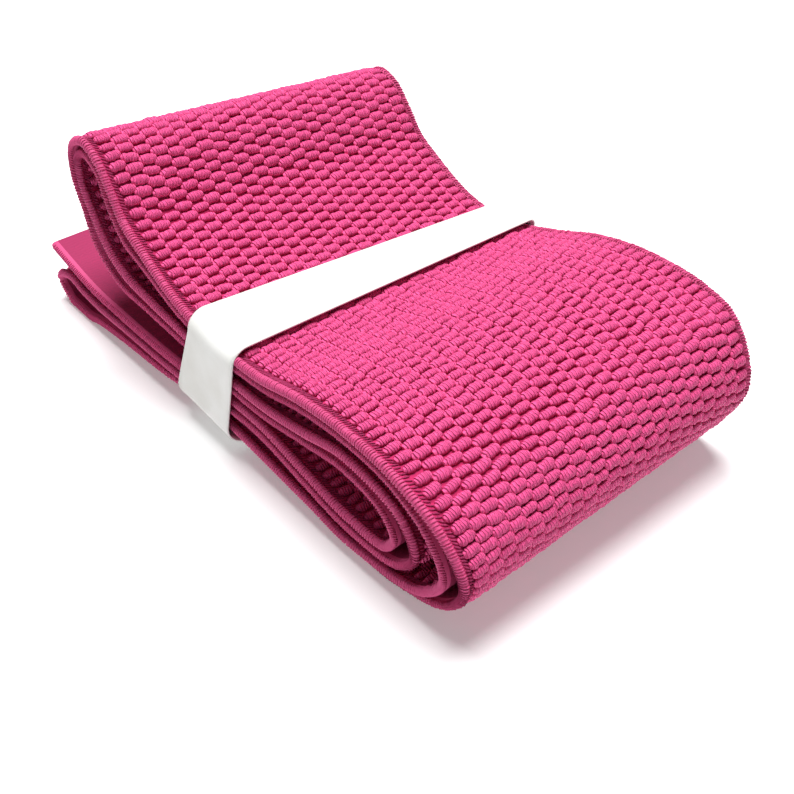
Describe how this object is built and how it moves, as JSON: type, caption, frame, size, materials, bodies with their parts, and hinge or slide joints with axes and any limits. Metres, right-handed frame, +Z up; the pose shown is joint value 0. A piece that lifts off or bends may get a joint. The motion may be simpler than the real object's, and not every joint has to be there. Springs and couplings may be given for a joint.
{
  "type": "roll of elastic",
  "caption": "Length of wide pink ribbed elastic folded into a stack and held at its waist by a plain white paper band.",
  "frame": {"origin": "centre of the bounding box in plan, on the surface the bundle rests on", "axes": "+X along the folded runs from the tall left loop to the rounded right folds, +Y across the strip's width, +Z up"},
  "size_m": [0.1081, 0.0628, 0.0389],
  "materials": {
    "pink_elastic": "ribbed woven",
    "white_paper": "matte"
  },
  "bodies": {
    "root": {"elastic_strip": "pink_elastic", "paper_band": "white_paper"}
  },
  "joints": []
}
